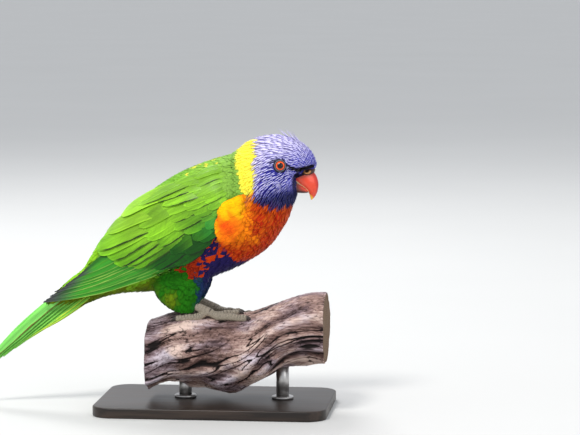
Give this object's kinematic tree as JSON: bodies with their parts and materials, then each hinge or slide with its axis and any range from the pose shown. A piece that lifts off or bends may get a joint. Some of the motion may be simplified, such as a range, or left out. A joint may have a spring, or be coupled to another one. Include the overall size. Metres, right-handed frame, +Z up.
{
  "type": "rainbow lorikeet display model",
  "caption": "Life-size rainbow lorikeet, wings folded, gripping a short cut length of gnarled limb held by rods on a flat plain base.",
  "frame": {"origin": "middle of the underside of the stand's base, on the floor", "axes": "+X the way the bird faces, +Z up, the bird's right side towards -Y"},
  "size_m": [0.2773, 0.112, 0.2138],
  "materials": {
    "head_plumage": "soft violet-blue feathers with pale shaft streaks",
    "collar_plumage": "soft yellow-green feathers",
    "breast_plumage": "soft orange-red feathers with darker edges, green back and violet belly",
    "wing_feathers": "bright green feathers, satin, with dusky tips",
    "tail_feathers": "bright green feathers with yellow inner vanes",
    "thigh_plumage": "soft green feathers flecked with yellow",
    "bill": "glossy horn, orange-red with a yellow tip",
    "cere": "bare brown skin with nostrils",
    "eye": "wet, orange-red iris round a black pupil",
    "foot_skin": "dry grey scaled skin",
    "claw": "dark horn",
    "limb_bark": "weathered, furrowed dead wood",
    "stand_board": "dark satin varnish",
    "stand_rod": "satin metal"
  },
  "bodies": {
    "root": {"bill_lower": "bill", "bill_upper": "bill", "cere": "cere", "claw_left_1": "claw", "claw_left_2": "claw", "claw_left_3": "claw", "claw_left_4": "claw", "claw_right_1": "claw", "claw_right_2": "claw", "claw_right_3": "claw", "claw_right_4": "claw", "eye_left": "eye", "eye_right": "eye", "foot_left": "foot_skin", "foot_right": "foot_skin", "head": "head_plumage", "neck": "collar_plumage", "perch_limb": "limb_bark", "stand_base": "stand_board", "stand_rod_1": "stand_rod", "stand_rod_2": "stand_rod", "tail": "tail_feathers", "thigh_left": "thigh_plumage", "thigh_right": "thigh_plumage", "torso": "breast_plumage", "wing_left": "wing_feathers", "wing_right": "wing_feathers"}
  },
  "joints": []
}
